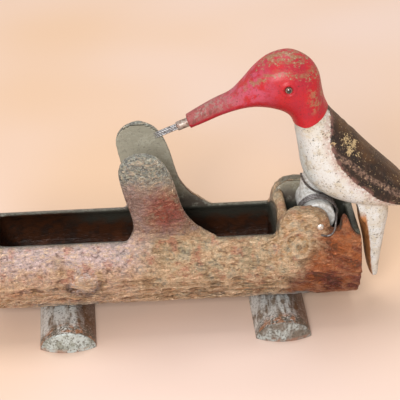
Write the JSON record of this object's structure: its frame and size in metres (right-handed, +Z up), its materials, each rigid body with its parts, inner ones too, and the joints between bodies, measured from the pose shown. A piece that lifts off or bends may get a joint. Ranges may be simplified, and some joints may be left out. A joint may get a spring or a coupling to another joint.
{
  "type": "cigarette dispenser",
  "caption": "Cast log trough on two half-round feet, with a sprung painted woodpecker that dips its needle-tipped beak between two branch stubs.",
  "frame": {"origin": "centre of the footprint, on the table under the feet", "axes": "+X along the log towards the bird's hinge, +Y across the log to the bird's left, +Z up"},
  "size_m": [0.2308, 0.082, 0.1482],
  "materials": {
    "bronze_patina": "worn brown bronze patina with bark texture",
    "grey_casting": "dull grey metal with dark speckles",
    "screw_steel": "dull",
    "pin_steel": "bright on its rounded ends",
    "spring_steel": "grey drawn wire",
    "bird_paint": "worn red, white and black paint",
    "plug_steel": "dull",
    "needle_steel": "bright",
    "eye_glass": "gloss black"
  },
  "bodies": {
    "base": {"log_casting": "bronze_patina", "left_cross_foot": "grey_casting", "right_cross_foot": "grey_casting", "left_foot_screw": "screw_steel", "right_foot_screw": "screw_steel", "pivot_pin": "pin_steel", "torsion_spring": "spring_steel"},
    "bird": {"bird_casting": "bird_paint", "needle_plug": "plug_steel", "beak_needle_1": "needle_steel", "beak_needle_2": "needle_steel", "beak_needle_3": "needle_steel", "beak_needle_4": "needle_steel", "left_eye": "eye_glass", "right_eye": "eye_glass"}
  },
  "joints": [
    {"name": "bird_dip", "type": "hinge", "parent": "base", "child": "bird", "pos_m": [0.05789, 0, 0.057], "axis": [0, -1, 0], "range_deg": [0, 52], "stiffness_Nm_per_rad": 0.15, "springref_deg": -20.05, "deforming": ["torsion_spring"]}
  ]
}
